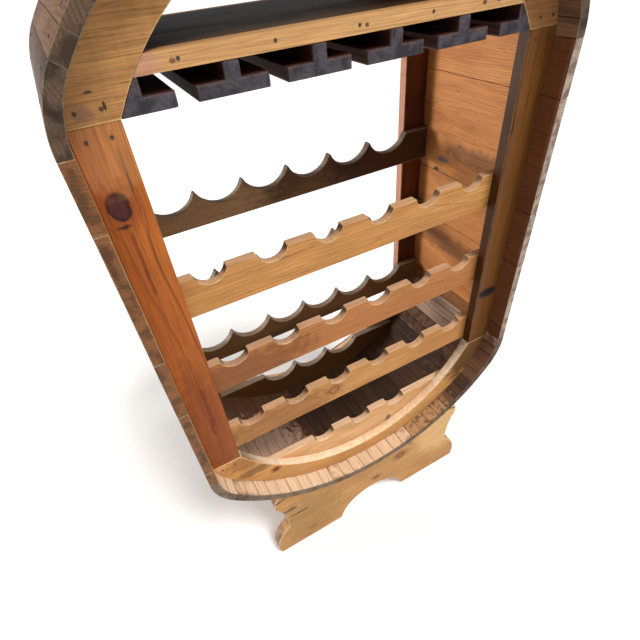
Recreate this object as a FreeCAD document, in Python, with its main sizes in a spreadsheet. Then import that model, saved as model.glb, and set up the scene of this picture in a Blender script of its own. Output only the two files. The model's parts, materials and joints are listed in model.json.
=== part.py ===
import FreeCAD, Part
import math
import os

# A wine rack in the shape of an upright cask, open at the front and the back.
# Frame: +X to the right, +Y to the back, +Z up, millimetres.
# The origin is on the floor, under the middle of the rack.

DRIVING_SIZES = [
    # shell of planks and staves
    ("shell_half_width", 393),
    ("shell_thickness", 18),
    ("shell_depth", 412),
    ("middle_height", 798.5),
    ("end_centre_offset", 129),
    ("end_radius", 462),
    ("corner_radius", 142),
    ("seam", 0.2),
    ("corner_stave_count", 3),
    # the two frames, set back from the ends of the shell
    ("lip_depth", 40),
    ("frame_board", 22),
    ("opening_half_width", 315),
    ("upper_joint_height", 1142),
    ("lower_joint_height", 458),
    ("upper_arch_top", 1321),
    ("lower_arch_bottom", 267),
    # bottle rails
    ("rail_board", 17),
    ("rail_height", 72),
    ("front_rail_1_top", 903),
    ("front_rail_2_top", 716),
    ("front_rail_3_top", 535),
    ("front_rail_4_top", 351),
    ("rear_rail_1_top", 912),
    ("rear_rail_2_top", 723),
    ("rear_rail_3_top", 536),
    ("rear_bottom_board_top", 331),
    ("neck_pitch", 105.8),
    ("neck_radius", 28),
    ("neck_rise", 6),
    ("body_pitch", 103.6),
    ("body_radius", 54),
    ("body_rise", 21),
    ("places_per_rail", 6),
    ("places_at_bottom", 3),
    # shelf and glass hangers
    ("shelf_top", 1200.5),
    ("shelf_board", 20.5),
    ("shelf_board_count", 3),
    ("shelf_half_length", 348),
    ("cleat_width", 18),
    ("cleat_outer", 362),
    ("hanger_count", 6),
    ("hanger_pitch", 118.2),
    ("hanger_flange", 93.9),
    ("hanger_flange_thickness", 18),
    ("hanger_web", 21.4),
    # feet
    ("foot_board", 32),
    ("foot_inset", 11),
    ("foot_half_base", 297),
    ("foot_shoulder", 252),
    ("foot_arch_half_width", 104),
    ("foot_arch_height", 83),
    # nails
    ("nail_radius", 2.2),
    ("nail_head", 0.7),
    ("trim_nail_count", 5),
    ("joint_nail_inset", 15),
    ("joint_nail_spread", 14),
]

# Heights of the seams between the wide planks of one side wall, from the floor.
SIDE_SEAMS = [512, 693, 819, 1037]

# Narrow staves of one curved end of the shell, in three groups from side to side.
END_STAVES = [9, 8, 9]

# One end of a foot, from the floor up: distance from the middle of the foot, then height.
FOOT_END = {
    "bulge": (300, 44),
    "waist": (260, 110),
    "hollow": (261, 165),
    "neck": (274, 213),
    "ear": (282, 244),
    "tip": (264, 272),
}

# Places of the nails across a wide plank, as shares of its height.
PLANK_NAILS = [0.2, 0.5, 0.8]

SIDES = [("left", -1), ("right", 1)]
ENDS = [("lower", -1), ("upper", 1)]
NODES = []

doc = FreeCAD.newDocument("WineRack")
sheet = doc.addObject("Spreadsheet::Sheet", "Sizes")
for row, (alias, value) in enumerate(DRIVING_SIZES, start=1):
    sheet.set("A%d" % row, alias)
    sheet.set("B%d" % row, str(value))
    sheet.setAlias("B%d" % row, alias)
doc.recompute()


def size(alias):
    return float(sheet.get(alias))


def point(x, z):
    return FreeCAD.Vector(x, z, 0)


def line(start, end):
    return Part.LineSegment(point(*start), point(*end))


def arc(start, middle, end):
    return Part.Arc(point(*start), point(*middle), point(*end))


# Shapes that several pieces share, in the plane of the frames.
half_inside = size("shell_half_width") - size("shell_thickness")
end_radius_inside = size("end_radius") - size("shell_thickness")
corner_radius_inside = size("corner_radius") - size("shell_thickness")
corner_centre_x = half_inside - corner_radius_inside
corner_drop = math.sqrt((end_radius_inside - corner_radius_inside) ** 2 - corner_centre_x ** 2)
corner_turn = math.degrees(math.atan2(corner_drop, corner_centre_x))
frame_front = -size("shell_depth") / 2 + size("lip_depth")
shelf_bottom = size("shelf_top") - size("shelf_board")


def end_centre_height(end):
    return size("middle_height") + end * size("end_centre_offset")


def corner_centre_height(end):
    return end_centre_height(end) + end * corner_drop


def inside_point(side, end, angle):
    """Point on the inner face of the shell, at an angle in degrees from the horizontal."""
    turn = math.radians(angle)
    if angle < corner_turn:
        x = corner_centre_x + corner_radius_inside * math.cos(turn)
        z = corner_centre_height(end) + end * corner_radius_inside * math.sin(turn)
    else:
        x = end_radius_inside * math.cos(turn)
        z = end_centre_height(end) + end * end_radius_inside * math.sin(turn)
    return side * x, z


def corner_angle_at(end, height):
    """Angle at which the rounded corner of the shell reaches a height."""
    rise = end * (height - corner_centre_height(end))
    return math.degrees(math.asin(rise / corner_radius_inside))


def joint_height(end):
    return size("upper_joint_height") if end > 0 else size("lower_joint_height")


def arch_tip(end):
    return size("upper_arch_top") if end > 0 else size("lower_arch_bottom")


def arch_radius(end):
    """Radius of the inner edge, through the two joints and the tip of the arch."""
    rise = abs(arch_tip(end) - joint_height(end))
    return (size("opening_half_width") ** 2 + rise ** 2) / (2 * rise)


def keep(piece, label):
    """Name a finished sub-part and put it on the list of nodes."""
    piece.Label = label
    NODES.append(piece)
    return piece


def new_sketch(body, name, edges):
    """Sketch in the body's own XZ plane: x across, y up."""
    plane = [item for item in body.Origin.OriginFeatures if item.Role == "XZ_Plane"][0]
    sketch = body.newObject("Sketcher::SketchObject", name)
    sketch.AttachmentSupport = [(plane, "")]
    sketch.MapMode = "FlatFace"
    sketch.addGeometry(edges, False)
    return sketch


def board_body(name, edges, thickness):
    """Body of one board: its outline, padded towards the front from the body's own origin."""
    body = doc.addObject("PartDesign::Body", name)
    outline = new_sketch(body, name + "_outline", edges)
    pad = body.newObject("PartDesign::Pad", name + "_pad")
    pad.Profile = outline
    pad.setExpression("Length", thickness)
    outline.Visibility = False
    return body


def stand_board(body, back_face, height="0"):
    """Bind the place of a board: its back face in Y, and its reference height in Z."""
    body.setExpression("Placement.Base.y", back_face)
    body.setExpression("Placement.Base.z", height)


# Expressions for the back faces of the boards, front to back.
HALF_DEPTH = "Sizes.shell_depth / 2"
FRONT_FRAME_BACK = "Sizes.lip_depth + Sizes.frame_board - " + HALF_DEPTH
FRONT_RAIL_BACK = FRONT_FRAME_BACK + " + Sizes.rail_board"
REAR_FRAME_FRONT = HALF_DEPTH + " - Sizes.lip_depth - Sizes.frame_board"
REAR_FRAME_BACK = HALF_DEPTH + " - Sizes.lip_depth"
FRAMES = [("front", FRONT_FRAME_BACK), ("rear", REAR_FRAME_BACK)]


def stile_outline(side):
    """Straight board between the two joints; its outer edge follows the shell."""
    low, high = size("lower_joint_height"), size("upper_joint_height")
    inner = side * size("opening_half_width")
    low_angle = corner_angle_at(-1, low)
    high_angle = corner_angle_at(1, high)
    low_outer = inside_point(side, -1, low_angle)
    low_straight = inside_point(side, -1, 0)
    high_outer = inside_point(side, 1, high_angle)
    high_straight = inside_point(side, 1, 0)
    return [
        line((inner, low), low_outer),
        arc(low_outer, inside_point(side, -1, low_angle / 2), low_straight),
        line(low_straight, high_straight),
        arc(high_straight, inside_point(side, 1, high_angle / 2), high_outer),
        line(high_outer, (inner, high)),
        line((inner, high), (inner, low)),
    ]


def arch_outline(side, end):
    """Half of a curved end of the frame, from its joint with the stile to the middle."""
    joint = joint_height(end)
    half = size("opening_half_width")
    start_angle = corner_angle_at(end, joint)
    start = inside_point(side, end, start_angle)
    bend = inside_point(side, end, corner_turn)
    crown = inside_point(side, end, 90)
    tip = (0, arch_tip(end))
    radius = arch_radius(end)
    centre_height = arch_tip(end) - end * radius
    half_turn = (math.asin(half / radius)) / 2
    middle = (side * radius * math.sin(half_turn), centre_height + end * radius * math.cos(half_turn))
    return [
        line((side * half, joint), start),
        arc(start, inside_point(side, end, (start_angle + corner_turn) / 2), bend),
        arc(bend, inside_point(side, end, (corner_turn + 90) / 2), crown),
        line(crown, tip),
        arc(tip, middle, (side * half, joint)),
    ]


def make_frames():
    arches = {}
    for place, back_face in FRAMES:
        for hand, side in SIDES:
            label = "%s_stile_%s" % (place, hand)
            stile = board_body(label, stile_outline(side), "Sizes.frame_board")
            stand_board(stile, back_face)
            keep(stile, label)
            for name, end in ENDS:
                label = "%s_%s_arch_%s" % (place, name, hand)
                arch = board_body(label, arch_outline(side, end), "Sizes.frame_board")
                stand_board(arch, back_face)
                keep(arch, label)
                arches[place, name, hand] = arch
    return arches


def make_side_planks():
    """Wide planks of the two straight walls, each running from the front to the back."""
    low = inside_point(1, -1, 0)[1]
    high = inside_point(1, 1, 0)[1]
    levels = [low] + SIDE_SEAMS + [high]
    for hand, side in SIDES:
        for number, (bottom, top) in enumerate(zip(levels, levels[1:]), start=1):
            label = "side_plank_%s_%d" % (hand, number)
            plank = doc.addObject("Part::Box", label)
            plank.setExpression("Length", "Sizes.shell_thickness")
            plank.setExpression("Width", "Sizes.shell_depth")
            plank.setExpression("Height", "%f - Sizes.seam" % (top - bottom))
            inner = "Sizes.shell_half_width - Sizes.shell_thickness"
            plank.setExpression("Placement.Base.x", inner if side > 0 else "-Sizes.shell_half_width")
            plank.setExpression("Placement.Base.y", "-" + HALF_DEPTH)
            plank.setExpression("Placement.Base.z", "%f + Sizes.seam / 2" % bottom)
            keep(plank, label)


def stave_outline(outer, start_angle, turn):
    """Ring sector about the origin, trimmed by half a seam at each edge."""
    inner = outer - size("shell_thickness")
    trim = math.degrees(size("seam") / 2 / outer)
    angles = [start_angle + trim, start_angle + turn / 2, start_angle + turn - trim]

    def on_ring(radius, angle):
        return radius * math.cos(math.radians(angle)), radius * math.sin(math.radians(angle))

    outside = [on_ring(outer, angle) for angle in angles]
    inside = [on_ring(inner, angle) for angle in angles]
    return [
        arc(*outside),
        line(outside[-1], inside[-1]),
        arc(*reversed(inside)),
        line(inside[0], outside[0]),
    ]


def make_stave_group(label, radius, centre, start_angle, turn, count):
    """Equal staves side by side round one centre, as one node of separate solids."""
    body = board_body(label, stave_outline(radius, start_angle, turn), "Sizes.shell_depth")
    body.AllowCompound = True
    pad = body.Tip
    doc.recompute()
    pattern = body.newObject("PartDesign::PolarPattern", label + "_row")
    pattern.Originals = [pad]
    pattern.Axis = (pad.Profile[0], ["N_Axis"])
    pattern.Angle = turn * (count - 1)
    pattern.Occurrences = count
    body.Tip = pattern
    body.setExpression("Placement.Base.x", "%f" % centre[0])
    stand_board(body, HALF_DEPTH, "%f" % centre[1])
    keep(body, label)


def make_staves():
    """Narrow staves: three round each corner, and a long row over each curved end."""
    corner_count = int(size("corner_stave_count"))
    corner_step = corner_turn / corner_count
    end_step = (180 - 2 * corner_turn) / sum(END_STAVES)
    for end_name, end in ENDS:
        for hand, side in SIDES:
            first = {(1, 1): 0, (-1, 1): 180 - corner_turn,
                     (-1, -1): 180, (1, -1): 360 - corner_turn}[side, end]
            centre = (side * corner_centre_x, corner_centre_height(end))
            label = "corner_staves_%s_%s" % (end_name, hand)
            make_stave_group(label, size("corner_radius"), centre, first, corner_step, corner_count)
        angle = corner_turn if end > 0 else 180 + corner_turn
        for number, count in enumerate(END_STAVES, start=1):
            label = "%s_staves_%d" % (end_name, number)
            centre = (0, end_centre_height(end))
            make_stave_group(label, size("end_radius"), centre, angle, end_step, count)
            angle += end_step * count


def cut_row(body, radius, rise, pitch, count):
    """Row of equal round cuts along the top edge, which is at the body's own height zero."""
    first = -size(pitch) * (count - 1) / 2
    circle = Part.Circle(point(first, size(rise)), FreeCAD.Vector(0, 0, 1), size(radius))
    sketch = new_sketch(body, body.Name + "_cut_outline", [circle])
    pocket = body.newObject("PartDesign::Pocket", body.Name + "_cut")
    pocket.Profile = sketch
    pocket.setExpression("Length", "Sizes.rail_board")
    pocket.Reversed = True
    sketch.Visibility = False
    row = body.newObject("PartDesign::LinearPattern", body.Name + "_cut_row")
    row.Originals = [pocket]
    row.Direction = (sketch, ["H_Axis"])
    row.setExpression("Length", "Sizes.%s * %d" % (pitch, count - 1))
    row.Occurrences = count
    body.Tip = row


def rail_outline():
    bottom = -size("rail_height")
    half = half_inside - size("seam")
    corners = [(-half, bottom), (half, bottom), (half, 0), (-half, 0)]
    return [line(start, end) for start, end in zip(corners, corners[1:] + corners[:1])]


def lunette_outline(top):
    """Board under a straight top edge that fills the bottom of the shell."""
    centre = end_centre_height(-1) - top
    half = math.sqrt(end_radius_inside ** 2 - centre ** 2)
    lowest = (0, centre - end_radius_inside)
    return [line((half, 0), (-half, 0)), arc((-half, 0), lowest, (half, 0))]


def make_rails():
    """Front rails carry the necks of the bottles, rear rails their bodies."""
    neck = ("neck_radius", "neck_rise", "neck_pitch")
    belly = ("body_radius", "body_rise", "body_pitch")
    rows = [
        ("front_bottle_rail", FRONT_RAIL_BACK, "front_rail_%d_top", neck),
        ("rear_bottle_rail", REAR_FRAME_FRONT, "rear_rail_%d_top", belly),
    ]
    for name, back_face, level, cut in rows:
        for number in (1, 2, 3):
            label = "%s_%d" % (name, number)
            rail = board_body(label, rail_outline(), "Sizes.rail_board")
            cut_row(rail, *cut, count=int(size("places_per_rail")))
            stand_board(rail, back_face, "Sizes." + level % number)
            keep(rail, label)
    lunettes = [
        ("front_bottle_rail_4", FRONT_RAIL_BACK, "front_rail_4_top", neck),
        ("rear_bottom_board", REAR_FRAME_FRONT, "rear_bottom_board_top", belly),
    ]
    for label, back_face, level, cut in lunettes:
        rail = board_body(label, lunette_outline(size(level)), "Sizes.rail_board")
        cut_row(rail, *cut, count=int(size("places_at_bottom")))
        stand_board(rail, back_face, "Sizes." + level)
        keep(rail, label)


def box(name, length, width, height, place):
    """Rectangular piece with every size and its low corner bound to the sheet."""
    piece = doc.addObject("Part::Box", name)
    for prop, value in zip(("Length", "Width", "Height"), (length, width, height)):
        piece.setExpression(prop, value)
    for axis, value in zip("xyz", place):
        piece.setExpression("Placement.Base." + axis, value)
    return piece


def cut_by(label, base, tools):
    """The base without the space that the tools fill; the tools stay pieces of their own."""
    group = doc.addObject("Part::Compound", label + "_tools")
    group.Links = tools
    cut = doc.addObject("Part::Cut", label)
    cut.Base = base
    cut.Tool = group
    return keep(cut, label)


def make_shelf(arches):
    """Boards behind the frames, a trim between the arches of each frame, and two cleats below."""
    bottom = "Sizes.shelf_top - Sizes.shelf_board"
    inner_depth = "(Sizes.shell_depth - 2 * Sizes.lip_depth - 2 * Sizes.frame_board)"
    length = "2 * Sizes.shelf_half_length"
    count = int(size("shelf_board_count"))
    for number in range(count):
        label = "shelf_board_%d" % (number + 1)
        front = "%s * %g" % (inner_depth, number / count - 0.5)
        width = "%s / %d - Sizes.seam" % (inner_depth, count)
        place = ("-Sizes.shelf_half_length", front, bottom)
        keep(box(label, length, width, "Sizes.shelf_board", place), label)
    for name, back_face in FRAMES:
        label = "shelf_trim_" + name
        place = ("-Sizes.opening_half_width", back_face + " - Sizes.frame_board", bottom)
        blank = box(label + "_blank", "2 * Sizes.opening_half_width", "Sizes.frame_board",
                    "Sizes.shelf_board", place)
        cut_by(label, blank, [arches[name, "upper", hand] for hand, side in SIDES])
    for hand, side in SIDES:
        label = "shelf_cleat_" + hand
        across = "Sizes.cleat_outer - Sizes.cleat_width" if side > 0 else "-Sizes.cleat_outer"
        place = (across, "-" + inner_depth + " / 2", bottom + " - Sizes.cleat_width")
        keep(box(label, "Sizes.cleat_width", inner_depth, "Sizes.cleat_width", place), label)


def hanger_outline():
    """T section, flange down, with its top at the body's own height zero."""
    drop = size("upper_joint_height") - shelf_bottom
    ledge = drop + size("hanger_flange_thickness")
    web, flange = size("hanger_web") / 2, size("hanger_flange") / 2
    right = [(web, 0), (web, ledge), (flange, ledge), (flange, drop)]
    corners = right + [(-x, z) for x, z in reversed(right)]
    return [line(start, end) for start, end in zip(corners, corners[1:] + corners[:1])]


def make_hangers(arches):
    """Slats under the shelf; the stems of glasses slide in between their flanges."""
    count = int(size("hanger_count"))
    for number in range(count):
        label = "glass_hanger_%d" % (number + 1)
        outermost = number in (0, count - 1)
        name = label + "_blank" if outermost else label
        length = "Sizes.shell_depth - 2 * Sizes.lip_depth"
        hanger = board_body(name, hanger_outline(), length)
        stand_board(hanger, REAR_FRAME_BACK, "Sizes.shelf_top - Sizes.shelf_board")
        hanger.setExpression("Placement.Base.x", "Sizes.hanger_pitch * %g" % (number - (count - 1) / 2))
        if outermost:
            hand = "left" if number == 0 else "right"
            cut_by(label, hanger, [arches[place, "upper", hand] for place, back_face in FRAMES])
        else:
            keep(hanger, label)


def foot_outline():
    """Cradle board: shell above, flat base with an arch cut out, and shaped ends."""
    radius = size("end_radius")
    centre = end_centre_height(-1)
    shoulder = (size("foot_shoulder"), centre - math.sqrt(radius ** 2 - size("foot_shoulder") ** 2))
    base = (size("foot_half_base"), 0)
    arch = (size("foot_arch_half_width"), 0)

    def mirror(spot, side):
        return side * spot[0], spot[1]

    edges = [
        arc(mirror(shoulder, -1), (0, centre - radius), shoulder),
        arc(mirror(arch, -1), (0, size("foot_arch_height")), arch),
    ]
    for hand, side in SIDES:
        bulge, waist, hollow, neck, ear, tip = [mirror(spot, side) for spot in FOOT_END.values()]
        edges += [
            line(mirror(arch, side), mirror(base, side)),
            arc(mirror(base, side), bulge, waist),
            arc(waist, hollow, neck),
            arc(neck, ear, tip),
            line(tip, mirror(shoulder, side)),
        ]
    return edges


def make_feet():
    front = "Sizes.foot_inset + Sizes.foot_board - " + HALF_DEPTH
    rear = HALF_DEPTH + " - Sizes.foot_inset"
    for name, back_face in (("front_foot", front), ("rear_foot", rear)):
        foot = board_body(name, foot_outline(), "Sizes.foot_board")
        stand_board(foot, back_face)
        keep(foot, name)


def nail(x, y, z, direction):
    """Flat round nail head standing on a face."""
    return Part.makeCylinder(size("nail_radius"), size("nail_head"), FreeCAD.Vector(x, y, z),
                             FreeCAD.Vector(*direction))


def nail_group(label, nails):
    group = doc.addObject("Part::Feature", label)
    group.Shape = Part.makeCompound(nails)
    group.Placement = FreeCAD.Placement()
    keep(group, label)


def make_shell_nails():
    """One nail through every stave and a few through every wide plank, into each frame."""
    outer_half = size("shell_half_width")
    rows = [frame_front + size("frame_board") / 2, -frame_front - size("frame_board") / 2]
    levels = [inside_point(1, -1, 0)[1]] + SIDE_SEAMS + [inside_point(1, 1, 0)[1]]
    rounds = [(size("corner_radius"), side * corner_centre_x, corner_centre_height(end),
               0, corner_turn, int(size("corner_stave_count")), side, end)
              for hand, side in SIDES for name, end in ENDS]
    rounds += [(size("end_radius"), 0, end_centre_height(end), corner_turn, 180 - corner_turn,
                sum(END_STAVES), 1, end) for name, end in ENDS]
    nails = []
    for y in rows:
        for bottom, top in zip(levels, levels[1:]):
            for share in PLANK_NAILS:
                z = bottom + (top - bottom) * share
                nails += [nail(side * outer_half, y, z, (side, 0, 0)) for hand, side in SIDES]
        for radius, x, z, start, stop, count, side, end in rounds:
            for number in range(count):
                angle = math.radians(start + (stop - start) * (number + 0.5) / count)
                across, up = side * math.cos(angle), end * math.sin(angle)
                nails.append(nail(x + radius * across, y, z + radius * up, (across, 0, up)))
    nail_group("shell_nails", nails)


def make_front_nails():
    """Nails in the trim of the shelf, and pairs at the four joints of the front frame."""
    trim_height = (size("shelf_top") + shelf_bottom) / 2
    pitch = size("hanger_pitch")
    count = int(size("trim_nail_count"))
    places = [pitch * (number - (count - 1) / 2) for number in range(count)]
    trim = [nail(x, frame_front, trim_height, (0, -1, 0)) for x in places]
    nail_group("trim_nails", trim)
    joints = []
    inset, spread = size("joint_nail_inset"), size("joint_nail_spread")
    centre = (size("opening_half_width") + half_inside) / 2
    for hand, side in SIDES:
        for name, end in ENDS:
            for z in (joint_height(end) - inset, joint_height(end) + inset):
                for x in (centre - spread, centre + spread):
                    joints.append(nail(side * x, frame_front, z, (0, -1, 0)))
    nail_group("frame_nails", joints)


def check_document():
    """Stop unless every object is sound and every sub-part is a valid shape."""
    for item in doc.Objects:
        if "Invalid" in item.State or "Error" in item.State:
            raise RuntimeError("failed object: " + item.Label)
    for piece in NODES:
        shape = piece.Shape
        if shape.isNull() or not shape.isValid() or not shape.Solids:
            raise RuntimeError("bad shape: " + piece.Label)


def write_parts():
    os.makedirs("parts", exist_ok=True)
    for piece in NODES:
        piece.Shape.exportStep("parts/%s.step" % piece.Label)
        print("%-30s %3d solids %12.0f mm3" % (piece.Label, len(piece.Shape.Solids), piece.Shape.Volume))


frame_arches = make_frames()
make_side_planks()
make_staves()
make_rails()
make_shelf(frame_arches)
make_hangers(frame_arches)
make_feet()
make_shell_nails()
make_front_nails()
doc.recompute()
check_document()
write_parts()
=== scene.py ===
import json
import math

import bpy
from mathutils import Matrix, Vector


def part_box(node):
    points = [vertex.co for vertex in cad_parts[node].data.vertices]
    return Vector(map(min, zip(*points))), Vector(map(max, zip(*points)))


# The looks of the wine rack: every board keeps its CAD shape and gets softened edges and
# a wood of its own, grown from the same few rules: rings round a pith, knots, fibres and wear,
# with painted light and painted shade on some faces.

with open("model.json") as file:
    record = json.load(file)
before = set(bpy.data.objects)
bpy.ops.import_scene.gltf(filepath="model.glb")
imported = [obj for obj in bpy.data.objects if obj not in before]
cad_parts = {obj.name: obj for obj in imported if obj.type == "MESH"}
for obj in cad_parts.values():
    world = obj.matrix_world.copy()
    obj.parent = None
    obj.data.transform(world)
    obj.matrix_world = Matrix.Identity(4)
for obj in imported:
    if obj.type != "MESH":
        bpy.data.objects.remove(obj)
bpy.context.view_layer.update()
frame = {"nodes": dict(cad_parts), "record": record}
MM = 0.001
AXES = "XYZ"

# The curved rows of staves: their outer radius in metres, and how many staves each holds.
END_RADIUS = 0.462
END_STAVES = 26
CORNER_RADIUS = 0.142
CORNER_STAVES = 3

# The softened edges: how near points join, in millimetres, and the least fold that is rounded.
WELD_REACH = 0.02
ROUNDED_FOLD = 35
BEVEL_STEPS = 2

# The camera: place in metres, turn in degrees, and focal length and film width in millimetres.
CAMERA_PLACE = (-0.35978, -0.73270, 1.28224)
CAMERA_TURN = (48.8316, 4.3932, -28.6818)
FOCAL_LENGTH = 24.94
FILM_WIDTH = 36.0

# The light of the studio: a wide sun high at the front right, and a window behind on the left.
LIGHT_COLOUR = (1.0, 0.97, 0.93)
SUN_DIRECTION = (-0.9, 1.7, -3.3)
SUN_STRENGTH = 3.1
SUN_SPREAD = 22
WINDOW_PLACE = (-3.2, 1.95, 1.15)
WINDOW_TARGET = (0.37, -0.05, 0.95)
WINDOW_WIDTH = 0.9
WINDOW_POWER = 140
SURROUNDING_LIGHT = 0.38
FLOOR_WIDTH = 90.0


def linear(hex_colour):
    """Scene-linear RGBA of an sRGB colour written as six hex digits."""
    parts = [int(hex_colour[start:start + 2], 16) / 255 for start in (0, 2, 4)]
    curve = [part / 12.92 if part <= 0.04045 else ((part + 0.055) / 1.055) ** 2.4 for part in parts]
    return (*curve, 1.0)


class Shader:
    """One material's node tree, with short calls for the nodes that the woods are made of."""

    def __init__(self, name):
        self.material = bpy.data.materials.new(name)
        self.material.use_nodes = True
        self.tree = self.material.node_tree
        self.tree.nodes.clear()

    def feed(self, socket, value):
        if isinstance(value, bpy.types.NodeSocket):
            self.tree.links.new(value, socket)
        else:
            socket.default_value = value

    def add(self, kind, *values, **settings):
        node = self.tree.nodes.new("ShaderNode" + kind)
        for key, value in settings.items():
            setattr(node, key, value)
        for socket, value in zip(node.inputs, values):
            self.feed(socket, value)
        return node

    def math(self, operation, *values):
        return self.add("Math", *values, operation=operation).outputs[0]

    def vector(self, operation, *values):
        node = self.add("VectorMath", *values, operation=operation)
        return node.outputs["Value" if operation in ("LENGTH", "DOT_PRODUCT") else "Vector"]

    def span(self, value, low, high, start=0.0, stop=1.0):
        """Smooth step that turns low to high into start to stop."""
        node = self.add("MapRange", value, low, high, start, stop, interpolation_type="SMOOTHSTEP")
        return node.outputs[0]

    def mix(self, share, first, second, blend="MIX"):
        node = self.add("Mix", data_type="RGBA", blend_type=blend)
        for index, value in ((0, share), (6, first), (7, second)):
            self.feed(node.inputs[index], value)
        return node.outputs[2]

    def noise(self, place, stretch, detail=2.0):
        """Noise from 0 to 1, with so many features per metre along each axis of the board."""
        node = self.add("TexNoise", normalize=True)
        self.feed(node.inputs["Vector"], self.vector("MULTIPLY", place, stretch))
        self.feed(node.inputs["Scale"], 1.0)
        self.feed(node.inputs["Detail"], detail)
        return node.outputs[0]

    def gloss(self, colour, roughness, height, look):
        """Shader and output, with the fixed numbers set on the shader's own sockets."""
        bump = self.add("Bump", look["bump"], 0.0006)
        self.feed(bump.inputs["Height"], height)
        wood = self.add("BsdfPrincipled")
        self.feed(wood.inputs["Base Color"], colour)
        self.feed(wood.inputs["Roughness"], roughness)
        self.feed(wood.inputs["Normal"], bump.outputs[0])
        wood.inputs["Coat Weight"].default_value = look["coat"]
        wood.inputs["Coat Roughness"].default_value = look["coat_roughness"]
        wood.inputs["Specular IOR Level"].default_value = look["specular"]
        self.add("OutputMaterial", wood.outputs[0])


# What every wood starts from. Lengths are in metres, in the board's own directions.
PLAIN = dict(
    light="c08a50", dark="6e3c1c", tint="a86a36", tint_share=0.6,
    spacing=0.008, line=0.38, contrast=0.85, wave=0.007, pith=(0.22, 0.05), lean=0.03, vary=0.4,
    fibre=0.3, speck="3a2414", specks=0.4, blotch="7a4a26", blotches=0.4, blotch_size=0.09,
    saw=0.0, knots=(), scatter=0.08, knot="2e170e", heart="6a3a20", halo="7c3818", patches=(),
    end="6a4a30", end_dark="3a2818", end_share=0.85, edge="d0a070", edge_share=0.5, seam=None,
    top="c09878", top_share=0.0,
    roughness=0.5, bump=0.5, coat=0.03, coat_roughness=0.3, specular=0.25, bevel=1.5)

LOOKS = {
    "stile_wood": dict(light="a95e22", dark="421406", tint="86420e", tint_share=0.75, spacing=0.015,
                       wave=0.016, pith=(0.03, 0.06),
                       line=0.24, contrast=0.9, coat=0.05, coat_roughness=0.2, specular=0.15, scatter=0.0,
                       edge="5a2c14", seam="9c6034",
                       blotches=0.35, blotch="8a4218", roughness=0.42, knot="26100e", heart="48201c"),
    "arch_wood": dict(light="b88a54", dark="80522a", tint="a27040", spacing=0.006, line=0.6,
                      contrast=0.65, saw=0.35, fibre=0.36, coat=0.0, roughness=0.65, scatter=0.0,
                      edge="d0ac7c", edge_share=0.6, specks=0.6, blotch="80582e",
                      top="e6c094", top_share=0.85),
    "wall_plank": dict(light="bd7f46", dark="86481f", tint="a4622c", spacing=0.005, line=0.55,
                       contrast=0.6, scatter=0.05, specks=0.8, coat=0.0, roughness=0.6,
                       end="6e5238", end_dark="34261a", edge="9c8468", seam="2c1a10", edge_share=0.85,
                       blotches=0.55, blotch="7c4a26"),
    "stave_wood": dict(light="6a4a32", dark="2e1c12", tint="4c3220", spacing=0.005, line=0.5,
                       contrast=0.6, scatter=0.0, specks=0.7, coat=0.0, roughness=0.65,
                       end="5c4a3a", end_dark="2a2018", edge="8c7a66", seam="1c120c", edge_share=0.85,
                       blotches=0.6, blotch="38241a", vary=0.9, bevel=0.7),
    "front_rail_wood": dict(light="c08c50", dark="84522a", tint="a8703a", spacing=0.007, line=0.45,
                            contrast=0.6, scatter=0.04, coat=0.0, roughness=0.56, specks=0.6,
                            edge="d4ac7c", edge_share=0.5, blotch="8c5c30",
                            top="c8a88c", top_share=0.6),
    "rear_rail_wood": dict(light="6e4c2a", dark="2e1a0c", tint="4e3218", spacing=0.007, line=0.5,
                           contrast=0.6, coat=0.0, roughness=0.55, blotch="2c1a10", blotches=0.6,
                           edge="a08c74", edge_share=0.75, end="4a3626",
                           top="988674", top_share=0.8),
    "shelf_wood": dict(light="2e241c", dark="100c0a", tint="1c1612", spacing=0.007, line=0.5,
                       contrast=0.6, coat=0.0, roughness=0.5, blotch="120e0c", blotches=0.6,
                       edge="3a3028", end="241c18", specks=0.2, specular=0.12),
    "trim_wood": dict(light="c49662", dark="94663c", tint="b48250", spacing=0.006, line=0.5,
                      contrast=0.5, coat=0.0, roughness=0.55, edge="dab88c", edge_share=0.6,
                      blotches=0.3, blotch="a87850", scatter=0.0),
    "hanger_wood": dict(light="3e221a", dark="180a08", tint="2a120c", spacing=0.007, line=0.5,
                        contrast=0.6, coat=0.0, specular=0.08, roughness=0.6, bevel=3.0, pith=(0.03, 0.05),
                        blotch="140a08", blotches=0.5, edge="5a4a48", edge_share=0.6,
                        end="4e4b52", end_dark="363238", end_share=0.96),
    "foot_wood": dict(light="b88850", dark="70461f", tint="a07240", spacing=0.008, line=0.5,
                      contrast=0.6, scatter=0.0, coat=0.0, roughness=0.6, bevel=2.5, heart="8a5634",
                      edge="d4b48c", edge_share=0.55, specks=0.6, end="8c7264", end_dark="5c463a"),
}

# The direction of the grain and of the board's thickness, by the start of the node's name.
GRAIN = [
    ("front_stile", "ZY"), ("rear_stile", "ZY"), ("front_upper", "XY"), ("front_lower", "XY"),
    ("rear_upper", "XY"), ("rear_lower", "XY"), ("side_plank", "YX"), ("corner_staves", "YZ"),
    ("lower_staves", "YZ"), ("upper_staves", "YZ"), ("front_bottle", "XY"), ("rear_bo", "XY"),
    ("shelf_board", "XZ"), ("shelf_trim", "XY"), ("shelf_cleat", "YX"), ("glass_hanger", "YZ"),
    ("front_foot", "XY"), ("rear_foot", "XY"),
]

# Middle of the hull's front rim, from front to back, in millimetres, and the painted shade of its right
# side, which the light does not reach.
LIP = -186
PAINTED_SHADE_LIP = "5a3018"
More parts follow.
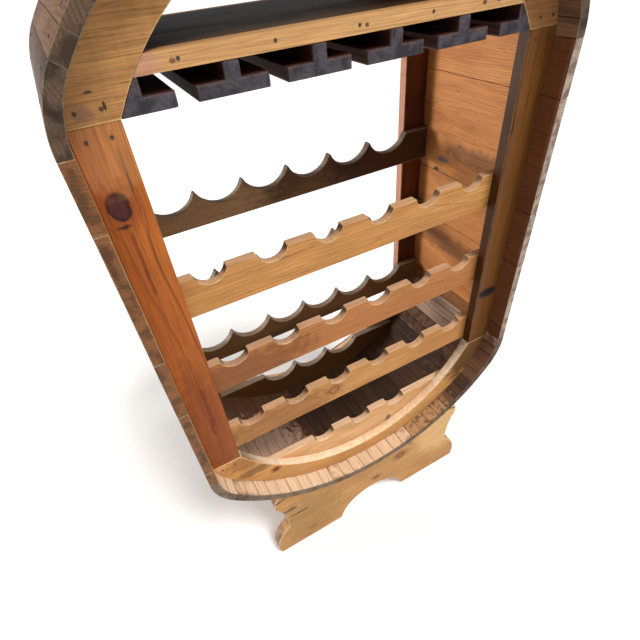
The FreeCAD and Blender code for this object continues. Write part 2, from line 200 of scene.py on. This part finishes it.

# What single boards have of their own. Knots: place in millimetres and radius.
# Patches: place and reach in millimetres, colour, strength and raggedness; some are stains, others painted
# light and painted shade.
OWN = {
    "front_stile_left": dict(
        knots=[((-353, -166, 1048), 14)],
        patches=[((-355, -166, 1021), (11, 30, 4), "1e120e", 0.85, 1.2),
                 ((-330, -166, 1090), (2, 30, 40), "2a1a14", 0.8, 1.2),
                 ((-345, -166, 1120), (60, 30, 60), "b07c50", 0.5, 0.6),
                 ((-345, -166, 520), (60, 30, 260), "74340a", 0.6, 0.5),
                 ((-341, -166, 640), (5, 30, 70), "64200f", 0.6, 0.8),
                 ((-345, -166, 590), (4, 30, 40), "64200f", 0.6, 0.8),
                 ((-350, -166, 960), (3, 30, 60), "5a1c10", 0.6, 0.8)]),
    "front_stile_right": dict(
        light="6e451b", dark="341a08", tint="5a3614", contrast=0.45, knot="1e120e", heart="2c1c14",
        blotch="5a3a1e",
        # Painted shade down the inner edge, which faces away from the light.
        patches=[((313, -152, 800), (7, 40, 800), "3c2008", 0.95, 0.2),
                 ((344, -166, 611), (30, 20, 15), "1a161e", 0.98, 0.25),
                 ((318, -166, 998), (3, 30, 30), "2a1a10", 0.8, 0.8)]),
    "front_upper_arch_left": dict(
        patches=[((-338, -166, 1175), (5, 30, 2), "3a2416", 0.8, 0.5),
                 ((-327, -166, 1159), (2, 30, 5), "2a1a12", 0.9, 0.5),
                 ((-351, -166, 1155), (14, 30, 9), "7c5a50", 0.6, 0.6)]),
    "front_upper_arch_right": dict(light="94683c", dark="603a1e", tint="84542e"),
    "front_lower_arch_left": dict(
        light="cc9a60", tint="b47e46", dark="8c5c30", saw=0.0, knots=[((-249, -166, 349), 6)],
        top="f0d4b4", top_share=1.0,
        patches=[((-290, -166, 385), (60, 30, 16), "6c4a24", 0.7, 0.5),
                 ((-300, -166, 430), (60, 30, 30), "8e5c2c", 0.7, 0.5)]),
    "front_lower_arch_right": dict(
        light="cc9a60", tint="b88248", dark="8c5c30", saw=0.0, knots=[((53, -166, 329), 8)],
        top="f0d4b4", top_share=0.8,
        patches=[((60, -166, 300), (2, 30, 22), "6a2c18", 0.8, 0.5),
                 # Painted shade over the arch's right end, by the shaded right corner.
                 ((335, -166, 440), (130, 30, 120), "50300f", 0.9, 0.4)]),
    "front_bottle_rail_2": dict(
        light="b27846", dark="6c3a1e", tint="9c602e", contrast=0.8, spacing=0.005,
        patches=[((-250, -144, 665), (150, 30, 50), "74401f", 0.7, 0.6)]),
    "front_bottle_rail_3": dict(
        knots=[((-70, -144, 497), 9)], heart="b07a48", knot="3a2012",
        patches=[((-200, -144, 490), (150, 30, 50), "84522a", 0.65, 0.6)]),
    "front_bottle_rail_4": dict(
        light="d4a676", dark="8c5e38", tint="bc8a56", edge="e4c4a0", top="e0c0a4",
        patches=[((85, -144, 284), (10, 30, 14), "3a2c34", 0.7, 0.7)]),
    "front_foot": dict(
        knots=[((94, -195, 161), 10), ((13, -195, 116), 6), ((-196, -195, 46), 6),
               ((130, -195, 191), 4)],
        patches=[((-200, -195, 120), (110, 40, 110), "94703e", 0.7, 0.8),
                 ((-247, -195, 196), (24, 40, 6), "3a3224", 0.8, 0.9),
                 ((-225, -195, 160), (30, 40, 4), "2e2618", 0.85, 0.9),
                 ((250, -195, 200), (120, 40, 130), "dcb47c", 0.6, 0.2)]),
    "rear_bottle_rail_1": dict(
        patches=[((-230, 127, 870), (190, 30, 80), "a8845c", 0.9, 0.3),
                 ((260, 127, 870), (190, 30, 80), "341a08", 0.9, 0.3)]),
    "rear_bottom_board": dict(light="5c3a1a", dark="241206", tint="402408"),
    # Painted shade: the rear stiles' red-brown wood is coloured very dark, as their front faces lie in
    # shadow.
    "rear_stile_left": dict(light="4a2614", dark="200e08", tint="381a0e", edge="b08068", edge_share=0.6),
    "rear_stile_right": dict(
        light="4a2614", dark="200e08", tint="381a0e", edge="b08068",
        # Painted light on the right rear stile's inner edge, where the window light falls.
        patches=[((313, 155, 800), (5, 40, 460), "b07c64", 0.9, 0.3)]),
    "shelf_trim_front": dict(
        patches=[((-243, -166, 1189), (4, 30, 3), "5a3a28", 0.8, 0.4),
                 ((11, -166, 1189), (4, 30, 3), "4a2e20", 0.9, 0.4),
                 ((210, -166, 1190), (4, 30, 3), "4a2e20", 0.9, 0.4),
                 ((-285, -166, 1190), (30, 30, 20), "b08070", 0.6, 0.5)]),
    "shelf_board_1": dict(light="54402c", dark="1e140c", tint="3a2a1c"),
    "shelf_board_2": dict(light="4a3c2e", dark="1c1410", tint="342a20"),
    "corner_staves_lower_left": dict(
        vary=0.3,
        patches=[((-330, LIP, 400), (160, 30, 160), "dcbc9c", 0.9, 0.4),
                 ((-331, LIP, 376), (8, 34, 9), "5a5c68", 0.85, 0.7),
                 # Painted light on the left of the hull's floor, where the light falls.
                 ((-330, -70, 330), (140, 90, 160), "b89884", 0.4, 0.9)]),
    "lower_staves_1": dict(
        vary=0.3,
        patches=[((-180, LIP, 290), (300, 30, 220), "dcbc9c", 0.9, 0.4),
                 # Painted light on the left of the hull's floor, where the light falls.
                 ((-250, -60, 300), (150, 100, 130), "b89884", 0.7, 0.9),
                 ((-158, -7, 250), (5, 26, 5), "140c08", 0.95, 0.2)]),
    "lower_staves_2": dict(
        patches=[((0, LIP, 230), (180, 30, 100), "dcb896", 0.9, 0.5),
                 # Dark stain, deepened with painted shade, over the middle of the hull's floor.
                 ((30, 40, 230), (320, 170, 110), "2c1a0e", 0.7, 1.0)]),
    "lower_staves_3": dict(
        patches=[((160, LIP, 240), (110, 30, 90), "b88a60", 0.85, 1.2),
                 # Dark stain, deepened with painted shade, over the right of the hull's floor.
                 ((190, 10, 270), (300, 170, 150), "2c1a0e", 0.75, 1.0)]),
    "corner_staves_lower_right": dict(
        light="a88c7c", tint="94766a", dark="5c4234", blotch="4a3428",
        # Painted light where the window light falls, then painted shade towards the front and on the rim.
        patches=[((320, 50, 370), (120, 130, 90), "b89478", 0.4, 0.9),
                 ((350, -100, 420), (120, 40, 120), "3a281a", 0.6, 0.9),
                 ((350, LIP, 400), (80, 30, 120), PAINTED_SHADE_LIP, 0.85, 0.7)]),
}

# Patches on the right wall's planks, by the plank's number from the bottom: stains, and painted shadow bands
# where the rear rails shade the wall.
WALL_MARKS = {
    # Painted shadow band of the second rear rail.
    2: [((375, 60, 640), (20, 200, 30), "7a4c28", 0.6, 0.6)],
    4: [((375, 85, 821), (20, 9, 8), "1e1410", 0.95, 0.6),
        ((375, 60, 850), (20, 22, 7), "5a5660", 0.8, 0.9),
        ((375, 40, 838), (20, 26, 14), "d88a3c", 0.6, 0.6),
        # Painted shadow band of the top rear rail.
        ((375, -60, 880), (20, 130, 22), "6e4c30", 0.6, 0.9)],
}
for number in range(1, 6):
    OWN["side_plank_left_%d" % number] = dict(end="70482a", end_dark="3a2416")
    # The right planks get painted shade along the front rim, where the light does not reach, and the wall's
    # marks.
    OWN["side_plank_right_%d" % number] = dict(
        end="b0a294", end_dark="74665a",
        patches=[((375, LIP, 800), (30, 40, 900), PAINTED_SHADE_LIP, 0.9, 0.3)] + WALL_MARKS.get(number, []))
OWN["side_plank_right_1"].update(light="86562e", dark="46260f", tint="6c4220", blotch="4a2c18")


def grain_axes(node):
    """Numbers of the axes along the grain, across the face and through the thickness."""
    letters = next(letters for start, letters in GRAIN if node.startswith(start))
    along, through = AXES.index(letters[0]), AXES.index(letters[1])
    return along, 3 - along - through, through


def in_board(place, centre, axes):
    """A CAD place in millimetres, in metres along the board's own directions."""
    return tuple(place[axis] * MM - centre[axis] for axis in axes)


def board_place(shader, centre, axes):
    """The surface's place from the middle of the board, and how far it faces along it and up."""
    source = shader.add("TexCoord")
    apart = shader.add("SeparateXYZ", shader.vector("SUBTRACT", source.outputs["Object"], centre))
    place = shader.add("CombineXYZ", *[apart.outputs[axis] for axis in axes]).outputs[0]
    facing = shader.add("SeparateXYZ", source.outputs["Normal"])
    return place, shader.math("ABSOLUTE", facing.outputs[axes[0]]), facing.outputs[2]


def stave_row(node):
    """A curved row of staves: its centre in the XZ plane, where it starts and one stave's turn."""
    end, up = ("upper", 1) if "upper" in node else ("lower", -1)
    low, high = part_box(end + "_staves_2")
    end_height = (high if up > 0 else low)[2] - up * END_RADIUS
    low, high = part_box("corner_staves_%s_right" % end)
    corner_x = high[0] - CORNER_RADIUS
    corner_height = (low if up > 0 else high)[2]
    turn = math.atan2(up * (corner_height - end_height), corner_x)
    if node.startswith("corner"):
        return corner_x, corner_height, 0.0, turn / CORNER_STAVES
    return 0.0, end_height, turn, (math.pi - 2 * turn) / END_STAVES


def stave_share(shader, node, seed_number):
    """A random share from 0 to 1 for each stave, by its turn round the centre of its row."""
    centre_x, centre_z, start, step = stave_row(node)
    apart = shader.add("SeparateXYZ", shader.add("TexCoord").outputs["Object"])
    side = shader.math("ABSOLUTE", apart.outputs[0]) if node.startswith("corner") else apart.outputs[0]
    rise = shader.math("ABSOLUTE", shader.math("SUBTRACT", apart.outputs[2], centre_z))
    angle = shader.math("ARCTAN2", rise, shader.math("SUBTRACT", side, centre_x))
    number = shader.math("FLOOR", shader.math("DIVIDE", shader.math("SUBTRACT", angle, start), step))
    return white_noise(shader, shader.math("ADD", number, seed_number * 31.0))


def white_noise(shader, value):
    noise = shader.add("TexWhiteNoise", noise_dimensions="1D")
    shader.feed(noise.inputs["W"], value)
    return noise.outputs["Value"]


def add_knots(shader, place, wobble, look, knots, seed):
    """How far the rings part round the knots, and the masks of their cores, hearts and halos."""
    bulge, core, heart, halo = 0.0, 0.0, 0.0, 0.0
    rounds = []
    for spot, radius in knots:
        rounds.append((shader.vector("SUBTRACT", place, spot), radius * MM, 1.0))
    if look["scatter"]:
        cells = (3.0, 8.0, 0.0)
        cell_place = shader.vector("MULTIPLY", shader.vector("ADD", place, seed), cells)
        cell = shader.add("TexVoronoi", cell_place, voronoi_dimensions="2D")
        shader.feed(cell.inputs["Scale"], 1.0)
        gap = shader.vector("SUBTRACT", cell_place, cell.outputs["Position"])
        offset = shader.vector("MULTIPLY", gap, (1 / cells[0], 1 / cells[1], 0.0))
        shade = shader.add("SeparateColor", cell.outputs["Color"])
        chosen = shader.math("LESS_THAN", shade.outputs[0], look["scatter"])
        rounds.append((offset, shader.math("MULTIPLY_ADD", shade.outputs[1], 0.006, 0.003), chosen))
    for offset, radius, chosen in rounds:
        away = shader.vector("LENGTH", shader.vector("MULTIPLY", offset, (0.72, 1.0, 0.0)))
        share = shader.math("DIVIDE", away, radius)
        across = shader.add("SeparateXYZ", offset).outputs[1]
        pull = shader.math("DIVIDE", 1.0, shader.math("POWER", shader.math("MAXIMUM", share, 1.0), 2.0))
        part = shader.math("DIVIDE", shader.math("MULTIPLY", pull, across), -look["spacing"])
        bulge = shader.math("ADD", shader.math("MULTIPLY", part, chosen), bulge)
        share = shader.math("MULTIPLY_ADD", wobble, 0.5, share)
        core = shader.math("MAXIMUM", shader.math("MULTIPLY", shader.span(share, 1.15, 0.85), chosen), core)
        heart = shader.math("MAXIMUM", shader.math("MULTIPLY", shader.span(share, 0.95, 0.6), chosen), heart)
        halo = shader.math("MAXIMUM", shader.math("MULTIPLY", shader.span(share, 2.6, 1.0), chosen), halo)
    return bulge, core, heart, halo


def add_rings(shader, place, bulge, look, share, seed):
    """Year rings as cylinders round a pith outside the board: dark lines from 0 to 1."""
    shifted = shader.vector("ADD", place, seed)
    sway = shader.noise(shifted, (1.7, 5.0, 5.0), 2.0)
    ripple = shader.noise(shifted, (9.0, 40.0, 40.0), 2.0)
    apart = shader.add("SeparateXYZ", place)
    lean = shader.math("MULTIPLY_ADD", apart.outputs[0], look["lean"], look["pith"][0])
    lean = shader.math("MULTIPLY_ADD", share, 0.35, lean)
    across = shader.math("ADD", apart.outputs[1], lean)
    through = shader.math("ADD", apart.outputs[2], look["pith"][1])
    reach = shader.vector("LENGTH", shader.add("CombineXYZ", 0.0, across, through).outputs[0])
    reach = shader.math("MULTIPLY_ADD", sway, look["wave"] * 2, reach)
    reach = shader.math("MULTIPLY_ADD", ripple, 0.003, reach)
    count = shader.math("ADD", shader.math("DIVIDE", reach, look["spacing"]), bulge)
    part = shader.math("FRACT", count)
    rise = shader.span(part, 1.0 - look["line"], 0.97)
    fall = shader.span(part, 0.97, 1.0, 1.0, 0.0)
    strength = shader.math("MULTIPLY_ADD", white_noise(shader, shader.math("FLOOR", count)), 0.7, 0.45)
    fade = shader.span(shader.noise(shifted, (3.0, 14.0, 14.0), 1.0), 0.25, 0.65, 0.35, 1.0)
    line = shader.math("MULTIPLY", shader.math("MULTIPLY", rise, fall), strength)
    return shader.math("MULTIPLY", line, fade)


def wood(name, node, look, seed_number, worn_edge=False):
    """The material of one board, or of its worn edges."""
    shader = Shader(name)
    low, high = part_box(node)
    centre = tuple((a + b) / 2 for a, b in zip(low, high))
    axes = grain_axes(node)
    seed = (seed_number * 1.37 % 7, seed_number * 2.11 % 5, seed_number * 0.73 % 3)
    place, facing_end, facing_up = board_place(shader, centre, axes)
    share = stave_share(shader, node, seed_number) if "staves" in node else 0.0
    shift = shader.add("CombineXYZ", shader.math("MULTIPLY", share, 9.0), 0.0, 0.0).outputs[0]
    shifted = shader.vector("ADD", shader.vector("ADD", place, seed), shift)

    wobble = shader.math("SUBTRACT", shader.noise(shifted, (60.0, 60.0, 20.0), 1.0), 0.5)
    knots = [(in_board(spot, centre, axes), radius) for spot, radius in look["knots"]]
    bulge, core, heart, halo = add_knots(shader, place, wobble, look, knots, seed)
    line = add_rings(shader, place, bulge, look, share, seed)

    rings = shader.math("MULTIPLY", line, look["contrast"])
    colour = shader.mix(rings, linear(look["light"]), linear(look["dark"]))
    bands = shader.span(shader.noise(shifted, (1.2, 22.0, 22.0), 3.0), 0.35, 0.7)
    colour = shader.mix(shader.math("MULTIPLY", bands, look["tint_share"]), colour, linear(look["tint"]))
    size = 1 / look["blotch_size"]
    clouds = shader.span(shader.noise(shifted, (size * 0.5, size, size), 4.0), 0.45, 0.75)
    colour = shader.mix(shader.math("MULTIPLY", clouds, look["blotches"]), colour, linear(look["blotch"]))
    colour = shader.mix(shader.math("MULTIPLY", halo, 0.55), colour, linear(look["halo"]))
    knot = shader.mix(heart, linear(look["knot"]), linear(look["heart"]))
    colour = shader.mix(core, colour, knot)
    if "staves" in node:
        tone = shader.math("MULTIPLY_ADD", share, look["vary"], 1.0 - look["vary"] / 2)
        tone = shader.add("CombineColor", tone, tone, tone).outputs[0]
        colour = shader.mix(1.0, colour, tone, "MULTIPLY")
    for spot, reach, shade, strength, ragged in look["patches"]:
        offset = shader.vector("SUBTRACT", place, in_board(spot, centre, axes))
        sizes = tuple(1 / (reach[axis] * MM) for axis in axes)
        away = shader.vector("LENGTH", shader.vector("MULTIPLY", offset, sizes))
        away = shader.math("MULTIPLY_ADD", wobble, ragged * 1.6, away)
        mask = shader.span(away, 1.15, 0.6, 0.0, strength)
        colour = shader.mix(mask, colour, linear(shade))

    fibre = shader.noise(shifted, (14.0, 520.0, 520.0), 3.0)
    scratch = shader.noise(shifted, (45.0, 700.0, 300.0), 1.0)
    saw_lines = shader.noise(shifted, (130.0, 5.0, 5.0), 2.0)
    saw = shader.math("MULTIPLY", shader.math("SUBTRACT", saw_lines, 0.5), look["saw"])
    grey = shader.math("MULTIPLY_ADD", shader.math("SUBTRACT", fibre, 0.5), look["fibre"] * 4, 1.0)
    grey = shader.math("ADD", grey, saw)
    stains = shader.span(shader.noise(shifted, (0.0, 45.0, 45.0), 4.0), 0.4, 0.62)
    stains = shader.math("MAXIMUM", stains, shader.math("MULTIPLY", line, 0.6))
    end_colour = shader.mix(stains, linear(look["end"]), linear(look["end_dark"]))
    end_mask = shader.span(facing_end, 0.6, 0.85, 0.0, look["end_share"])
    colour = shader.mix(end_mask, colour, end_colour)
    rub = shader.span(shader.noise(shifted, (30.0, 90.0, 90.0), 3.0), 0.35, 0.65, 0.5, 1.0)
    # Painted highlight: faces that look up are made paler, as if lit from above, mixed with some rubbed
    # wear.
    if look["top_share"]:
        up = shader.span(facing_up, 0.35, 0.75, 0.0, look["top_share"])
        lit_top_cover = shader.math("MULTIPLY_ADD", rub, 0.4, 0.6)
        colour = shader.mix(shader.math("MULTIPLY", up, lit_top_cover), colour, linear(look["top"]))
    if worn_edge:
        at_end = shader.span(facing_end, 0.3, 0.6)
        worn = shader.mix(at_end, linear(look["seam"] or look["edge"]), linear(look["edge"]))
        colour = shader.mix(shader.math("MULTIPLY", rub, look["edge_share"]), colour, worn)

    specks = shader.span(scratch, 0.68, 0.76, 0.0, look["specks"])
    colour = shader.mix(specks, colour, linear(look["speck"]))
    shade = shader.add("CombineColor", grey, grey, grey).outputs[0]
    colour = shader.mix(1.0, colour, shade, "MULTIPLY")

    height = shader.math("MULTIPLY_ADD", fibre, 0.5, shader.math("MULTIPLY", line, -0.4))
    height = shader.math("ADD", height, saw)
    height = shader.math("MULTIPLY_ADD", specks, -0.8, height)
    rough = shader.math("MULTIPLY_ADD", fibre, 0.18, look["roughness"] - 0.09)
    rough = shader.math("MULTIPLY_ADD", clouds, 0.08, rough)
    shader.gloss(colour, rough, height, look)
    return shader.material


def iron():
    """Dull nail heads with rust in the hollows."""
    shader = Shader("nail_iron")
    place = shader.add("TexCoord").outputs["Object"]
    rust = shader.noise(place, (300.0, 300.0, 300.0), 3.0)
    colour = shader.mix(shader.span(rust, 0.4, 0.65), linear("2a2421"), linear("5a3824"))
    look = dict(bump=0.5, coat=0.0, coat_roughness=0.3, specular=0.5)
    shader.gloss(colour, shader.span(rust, 0.3, 0.7, 0.45, 0.75), rust, look)
    return shader.material


def soften(piece, width, material_index):
    """Close the seams between faces, then round the edges and shade the faces evenly."""
    weld = piece.modifiers.new("weld", "WELD")
    weld.merge_threshold = WELD_REACH * MM
    bevel = piece.modifiers.new("soft_edges", "BEVEL")
    bevel.width = width * MM
    bevel.segments = BEVEL_STEPS
    bevel.limit_method = "ANGLE"
    bevel.angle_limit = math.radians(ROUNDED_FOLD)
    bevel.material = material_index
    bevel.use_clamp_overlap = True
    bevel.harden_normals = True


def dress_boards():
    slots = {part["node"]: part["material_slot"] for part in frame["record"]["subparts"]}
    metal = iron()
    for number, (node, piece) in enumerate(sorted(frame["nodes"].items())):
        slot = slots[node]
        if slot == "nail_iron":
            piece.material_slots[0].material = metal
            continue
        look = {**PLAIN, **LOOKS[slot], **OWN.get(node, {})}
        piece.material_slots[0].material = wood(node, node, look, number)
        piece.data.materials.append(wood(node + "_edge", node, look, number, worn_edge=True))
        soften(piece, look["bevel"], 1)


def lamp(name, kind, direction, strength):
    """A light of the shared colour that shines in one direction, and the object that holds it."""
    light = bpy.data.lights.new(name, kind)
    light.energy = strength
    light.color = LIGHT_COLOUR
    holder = bpy.data.objects.new(name, light)
    holder.rotation_euler = direction.to_track_quat("-Z", "Y").to_euler()
    bpy.context.scene.collection.objects.link(holder)
    return holder


def make_lights():
    """A wide sun, a soft window and an even light from all round."""
    sun = lamp("front_light", "SUN", Vector(SUN_DIRECTION), SUN_STRENGTH)
    sun.data.angle = math.radians(SUN_SPREAD)
    toward = Vector(WINDOW_TARGET) - Vector(WINDOW_PLACE)
    window = lamp("window_light", "AREA", toward, WINDOW_POWER)
    window.data.size = WINDOW_WIDTH
    window.location = WINDOW_PLACE
    world = bpy.data.worlds.new("studio")
    world.use_nodes = True
    background = world.node_tree.nodes["Background"]
    background.inputs["Color"].default_value = (1.0, 1.0, 1.0, 1.0)
    background.inputs["Strength"].default_value = SURROUNDING_LIGHT
    bpy.context.scene.world = world
    bpy.context.scene.view_settings.view_transform = "Standard"


def make_floor():
    """A plain pale floor with a fine grit."""
    bpy.ops.mesh.primitive_plane_add(size=FLOOR_WIDTH)
    floor = bpy.context.object
    floor.name = "studio_floor"
    shader = Shader("floor_paint")
    place = shader.add("TexCoord").outputs["Object"]
    grit = shader.noise(place, (40.0, 40.0, 40.0), 3.0)
    colour = shader.mix(grit, linear("f4f4f4"), linear("fafafa"))
    look = dict(bump=0.05, coat=0.0, coat_roughness=0.5, specular=0.2)
    shader.gloss(colour, shader.span(grit, 0.0, 1.0, 0.75, 0.9), grit, look)
    floor.data.materials.append(shader.material)


def make_camera():
    """The camera stands in front of the rack, left of its middle, and looks down into it."""
    lens = bpy.data.cameras.new("camera")
    lens.lens = FOCAL_LENGTH
    lens.sensor_width = FILM_WIDTH
    lens.clip_start = 0.01
    camera = bpy.data.objects.new("camera", lens)
    camera.location = CAMERA_PLACE
    camera.rotation_euler = [math.radians(angle) for angle in CAMERA_TURN]
    bpy.context.scene.collection.objects.link(camera)
    bpy.context.scene.camera = camera


make_camera()
make_lights()
make_floor()
dress_boards()
